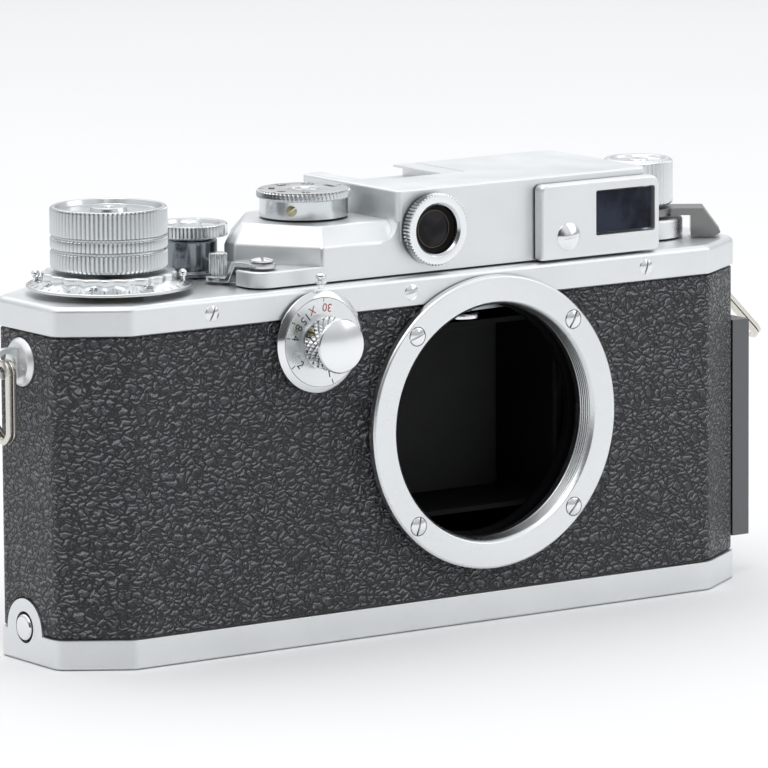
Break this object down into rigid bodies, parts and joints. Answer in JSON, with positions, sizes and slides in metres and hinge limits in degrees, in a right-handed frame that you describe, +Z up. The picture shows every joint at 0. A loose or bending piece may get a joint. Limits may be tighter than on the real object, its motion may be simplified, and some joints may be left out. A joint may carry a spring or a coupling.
{
  "type": "rangefinder camera",
  "caption": "Rangefinder film camera body without a lens: chrome covers, leatherette sides, screw lens mount, knobs, dials and a swing-down base plate.",
  "frame": {"origin": "centre of the underside of the base plate", "axes": "+Z up, +X along the length towards the rewind knob, -Y out of the lens mount towards the subject"},
  "size_m": [0.1548, 0.0395, 0.0732],
  "materials": {
    "satin_chrome": "satin chrome plate with a fine matte grain",
    "polished_chrome": "bright polished chrome plate",
    "nickel": "warm nickel-plated wire, lightly tarnished",
    "steel": "ground steel",
    "dark_steel": "dark grey plated steel",
    "brass": "turned brass",
    "black_metal": "matt black lacquer",
    "cast_alloy": "die-cast alloy",
    "leather": "charcoal pebbled leatherette with glossy grain tops",
    "curtain_cloth": "rubberised black silk",
    "optical_glass": "dark coated glass"
  },
  "bodies": {
    "camera_body": {"body_shell": "cast_alloy", "leather_covering": "leather", "top_cover": "satin_chrome", "rangefinder_cover": "satin_chrome", "chassis_plate": "steel", "shutter_crate": "black_metal", "second_curtain": "curtain_cloth", "first_curtain": "curtain_cloth", "pressure_plate": "black_metal", "flash_rail": "dark_steel", "base_stud": "polished_chrome", "lens_mount_ring": "satin_chrome", "light_baffle": "black_metal", "mount_screw_1": "polished_chrome", "mount_screw_2": "polished_chrome", "mount_screw_3": "polished_chrome", "mount_screw_4": "polished_chrome", "finder_window_block": "satin_chrome", "finder_front_glass": "optical_glass", "accessory_shoe": "satin_chrome", "range_window_ring": "polished_chrome", "range_window_glass": "optical_glass", "eyepiece_ring": "black_metal", "eyepiece_lens": "optical_glass", "beam_splitter": "optical_glass", "wind_bush": "brass", "release_collar": "polished_chrome", "lever_screw": "polished_chrome", "rewind_collar": "satin_chrome", "strap_lug_left": "polished_chrome", "strap_lug_right": "polished_chrome"},
    "wind_knob": {"wind_knob": "satin_chrome", "wind_shaft": "steel"},
    "counter_dial": {"counter_dial": "satin_chrome"},
    "take_up_spool": {"take_up_spool": "black_metal"},
    "film_sprocket": {"film_sprocket": "steel"},
    "curtain_drum": {"curtain_drum": "brass"},
    "speed_dial": {"speed_dial": "satin_chrome"},
    "first_curtain_roller": {"first_curtain_roller": "steel"},
    "second_curtain_roller": {"second_curtain_roller": "steel"},
    "release_button": {"release_button": "satin_chrome"},
    "rewind_release_lever": {"rewind_release_lever": "polished_chrome"},
    "slow_dial": {"slow_dial": "satin_chrome", "slow_dial_knob": "satin_chrome"},
    "slow_dial_catch": {"slow_dial_catch": "polished_chrome"},
    "rewind_shaft": {"rewind_shaft": "steel"},
    "rewind_knob": {"rewind_knob": "satin_chrome"},
    "magnifier_lever": {"magnifier_lever": "polished_chrome"},
    "magnifier_turret": {"magnifier_turret": "black_metal"},
    "follower_arm": {"follower_arm": "steel"},
    "follower_roller": {"follower_roller": "polished_chrome"},
    "rangefinder_mirror": {"rangefinder_mirror": "optical_glass"},
    "strap_clip_left": {"strap_clip_left": "nickel"},
    "strap_clip_right": {"strap_clip_right": "nickel"},
    "base_plate": {"base_plate": "satin_chrome", "tripod_bush": "brass"},
    "base_lock": {"lock_disc": "satin_chrome", "lock_cam": "steel"},
    "lock_key": {"lock_key": "polished_chrome"}
  },
  "joints": [
    {"name": "wind_knob_turn", "type": "hinge", "parent": "camera_body", "child": "wind_knob", "pos_m": [-0.0518, 0.0005, 0.068], "axis": [0, 0, 1], "continuous": true},
    {"name": "counter_turn", "type": "hinge", "parent": "camera_body", "child": "counter_dial", "pos_m": [-0.0518, 0.0005, 0.061], "axis": [0, 0, 1], "continuous": true},
    {"name": "spool_turn", "type": "hinge", "parent": "camera_body", "child": "take_up_spool", "pos_m": [-0.0518, 0.0005, 0.034], "axis": [0, 0, 1], "continuous": true},
    {"name": "sprocket_turn", "type": "hinge", "parent": "camera_body", "child": "film_sprocket", "pos_m": [-0.0318, 0.0005, 0.034], "axis": [0, 0, 1], "continuous": true},
    {"name": "drum_turn", "type": "hinge", "parent": "camera_body", "child": "curtain_drum", "pos_m": [-0.0138, 0.0005, 0.034], "axis": [0, 0, 1], "continuous": true},
    {"name": "speed_dial_lift", "type": "slide", "parent": "curtain_drum", "child": "speed_dial", "axis": [0, 0, 1], "range_m": [0, 0.0015], "stiffness_N_per_m": 300},
    {"name": "first_roller_turn", "type": "hinge", "parent": "camera_body", "child": "first_curtain_roller", "pos_m": [0.0354, 0.0054, 0.03], "axis": [0, 0, 1], "continuous": true},
    {"name": "second_roller_turn", "type": "hinge", "parent": "camera_body", "child": "second_curtain_roller", "pos_m": [0.0354, -0.001, 0.03], "axis": [0, 0, 1], "continuous": true},
    {"name": "release_press", "type": "slide", "parent": "camera_body", "child": "release_button", "axis": [0, 0, -1], "range_m": [0, 0.0018], "stiffness_N_per_m": 400},
    {"name": "rewind_lever_turn", "type": "hinge", "parent": "camera_body", "child": "rewind_release_lever", "pos_m": [-0.0293, -0.0102, 0.0625], "axis": [0, 0, 1], "range_deg": [0, 55]},
    {"name": "slow_dial_turn", "type": "hinge", "parent": "camera_body", "child": "slow_dial", "pos_m": [-0.0221, -0.0165, 0.05015], "axis": [0, 1, 0], "range_deg": [0, 195]},
    {"name": "catch_lift", "type": "slide", "parent": "camera_body", "child": "slow_dial_catch", "axis": [0, 0, 1], "range_m": [0, 0.0008], "stiffness_N_per_m": 150},
    {"name": "rewind_turn", "type": "hinge", "parent": "camera_body", "child": "rewind_shaft", "pos_m": [0.0546, 0.0005, 0.05], "axis": [0, 0, 1], "continuous": true},
    {"name": "rewind_knob_lift", "type": "slide", "parent": "rewind_shaft", "child": "rewind_knob", "axis": [0, 0, 1], "range_m": [0, 0.006]},
    {"name": "magnifier_turn", "type": "hinge", "parent": "camera_body", "child": "magnifier_lever", "pos_m": [0.0546, 0.0005, 0.0635], "axis": [0, 0, 1], "range_deg": [0, 60]},
    {"name": "turret_turn", "type": "hinge", "parent": "camera_body", "child": "magnifier_turret", "pos_m": [0.0399, -0.0052, 0.066], "axis": [0, 0, 1], "range_deg": [0, 60]},
    {"name": "follower_swing", "type": "hinge", "parent": "camera_body", "child": "follower_arm", "pos_m": [0.029, -0.006, 0.051], "axis": [0, 0, 1], "range_deg": [-8, 0], "stiffness_Nm_per_rad": 0.02},
    {"name": "roller_spin", "type": "hinge", "parent": "follower_arm", "child": "follower_roller", "pos_m": [0.0122, -0.0072, 0.0503], "axis": [0, 0, 1], "continuous": true},
    {"name": "mirror_turn", "type": "hinge", "parent": "camera_body", "child": "rangefinder_mirror", "pos_m": [0.002, -0.003, 0.066], "axis": [0, 0, 1], "range_deg": [-4, 0]},
    {"name": "left_clip_swing", "type": "hinge", "parent": "camera_body", "child": "strap_clip_left", "pos_m": [-0.0712, 0.0015, 0.049], "axis": [0, 1, 0], "range_deg": [0, 100]},
    {"name": "right_clip_swing", "type": "hinge", "parent": "camera_body", "child": "strap_clip_right", "pos_m": [0.0712, 0.0015, 0.049], "axis": [0, 1, 0], "range_deg": [-50, 16]},
    {"name": "base_plate_swing", "type": "hinge", "parent": "camera_body", "child": "base_plate", "pos_m": [-0.0676, 0, 0.0104], "axis": [0, 1, 0], "range_deg": [0, 20]},
    {"name": "base_lock_turn", "type": "hinge", "parent": "base_plate", "child": "base_lock", "pos_m": [0.0546, 0.0005, 0.001], "axis": [0, 0, 1], "range_deg": [0, 180]},
    {"name": "lock_key_fold", "type": "hinge", "parent": "base_lock", "child": "lock_key", "pos_m": [0.0546, 0.0005, 0.0006], "axis": [1, 0, 0], "range_deg": [0, 90]}
  ],
  "couplings": [
    {"joint": "counter_turn", "follows": "wind_knob_turn", "ratio": 0.025},
    {"joint": "spool_turn", "follows": "wind_knob_turn", "ratio": 1},
    {"joint": "sprocket_turn", "follows": "wind_knob_turn", "ratio": -1},
    {"joint": "drum_turn", "follows": "wind_knob_turn", "ratio": 1.25},
    {"joint": "first_roller_turn", "follows": "wind_knob_turn", "ratio": 3.0769},
    {"joint": "second_roller_turn", "follows": "wind_knob_turn", "ratio": 3.0769},
    {"joint": "turret_turn", "follows": "magnifier_turn", "ratio": 1},
    {"joint": "mirror_turn", "follows": "follower_swing", "ratio": 0.5}
  ]
}
